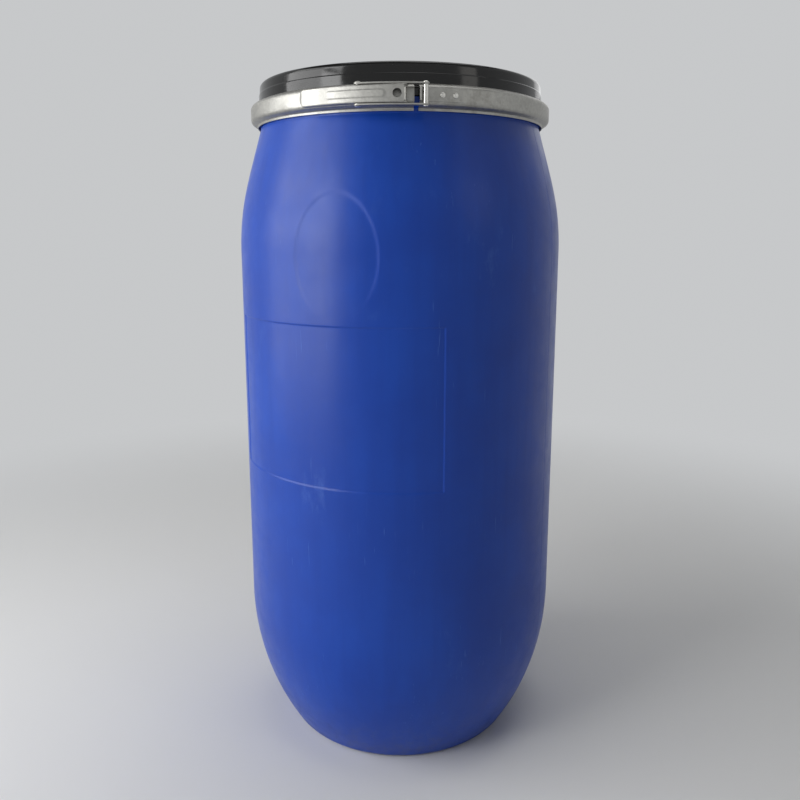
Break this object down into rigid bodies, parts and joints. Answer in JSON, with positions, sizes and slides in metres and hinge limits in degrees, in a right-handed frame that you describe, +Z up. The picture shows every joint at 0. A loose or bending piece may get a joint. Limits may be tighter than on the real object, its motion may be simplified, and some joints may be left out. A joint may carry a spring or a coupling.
{
  "type": "open head drum",
  "caption": "Tall round plastic drum with rounded heel and shoulder, removable gasketed lid, and a steel clamp ring closed by a hinged lever and link.",
  "frame": {"origin": "middle of the foot circle, on the floor", "axes": "+Z up along the drum's axis, -Y towards the lever closure, +X to the right as seen from the closure's side"},
  "size_m": [0.482, 0.482, 0.985],
  "materials": {
    "blue_plastic": "blow-moulded polyethylene, satin with faint flow marks and scuffs",
    "black_plastic": "gloss moulded plastic",
    "gasket_rubber": "soft black rubber",
    "galvanised_steel": "galvanised sheet steel, satin",
    "zinc_pins": "zinc-plated pins and rivets"
  },
  "bodies": {
    "drum": {"drum_body": "blue_plastic"},
    "lid": {"lid": "black_plastic", "lid_gasket": "gasket_rubber"},
    "clamp_ring": {"clamp_band": "galvanised_steel", "hinge_bracket": "galvanised_steel", "hinge_pin": "zinc_pins", "catch_hook": "galvanised_steel", "hinge_bracket_rivet_1": "zinc_pins", "hinge_bracket_rivet_2": "zinc_pins", "catch_hook_rivet_1": "zinc_pins", "catch_hook_rivet_2": "zinc_pins"},
    "lever": {"lever": "galvanised_steel", "link_pin": "zinc_pins"},
    "link": {"link_plate_upper": "galvanised_steel", "link_plate_lower": "galvanised_steel", "catch_bar": "zinc_pins"}
  },
  "joints": [
    {"name": "lid_lift", "type": "slide", "parent": "drum", "child": "lid", "axis": [0, 0, 1], "range_m": [0, 0.2]},
    {"name": "ring_lift", "type": "slide", "parent": "drum", "child": "clamp_ring", "axis": [0, 0, 1], "range_m": [0, 0.35], "deforming": ["clamp_band"]},
    {"name": "lever_swing", "type": "hinge", "parent": "clamp_ring", "child": "lever", "pos_m": [0.00475, -0.22695, 0.94195], "axis": [0, 0, 1], "range_deg": [0, 120]},
    {"name": "link_pivot", "type": "hinge", "parent": "lever", "child": "link", "pos_m": [-0.05172, -0.22052, 0.94195], "axis": [0, 0, 1], "range_deg": [-120, 0]}
  ],
  "couplings": [
    {"joint": "link_pivot", "follows": "lever_swing", "ratio": -1}
  ]
}
